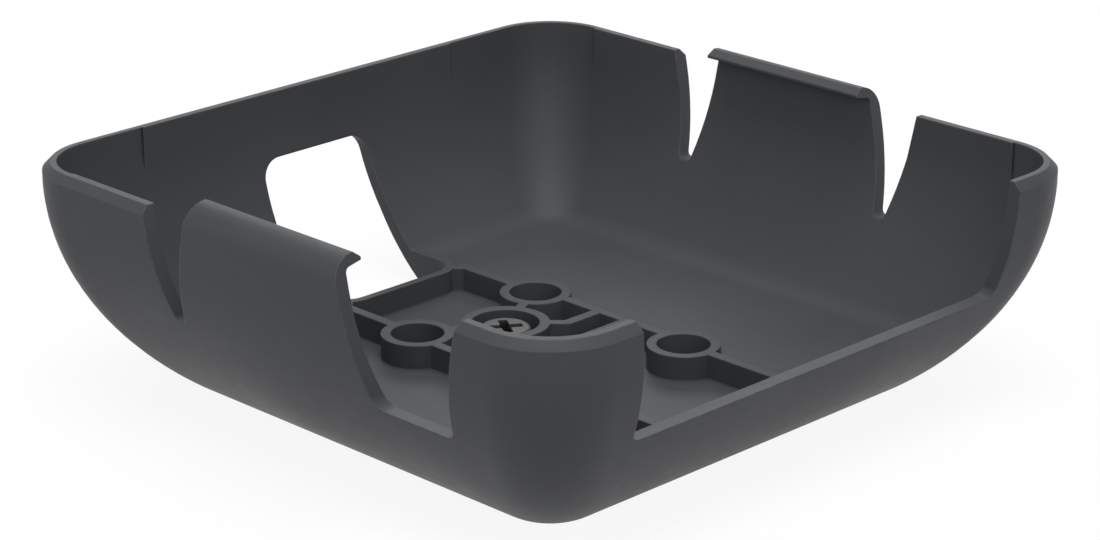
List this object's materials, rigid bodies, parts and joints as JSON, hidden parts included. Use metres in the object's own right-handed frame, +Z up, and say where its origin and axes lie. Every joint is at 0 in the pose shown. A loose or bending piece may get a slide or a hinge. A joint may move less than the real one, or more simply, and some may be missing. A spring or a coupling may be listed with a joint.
{
  "type": "injection moulded plastic housing",
  "caption": "Open square housing with rolled sides, inward-hooked snap tabs, relief slots, wall cut-outs, a cable window and a ribbed floor with screw bosses.",
  "frame": {"origin": "centre of the flat underside", "axes": "+Z up out of the open top; +X towards the wall with the wide cut-out, -X towards the cable window; the snap tabs are on the -Y and +Y walls"},
  "size_m": [0.1022, 0.1022, 0.0336],
  "materials": {
    "housing_plastic": "fine matte moulded texture",
    "screw_steel": "dark satin coated steel"
  },
  "bodies": {
    "root": {"housing": "housing_plastic", "fixing_screw": "screw_steel"}
  },
  "joints": []
}
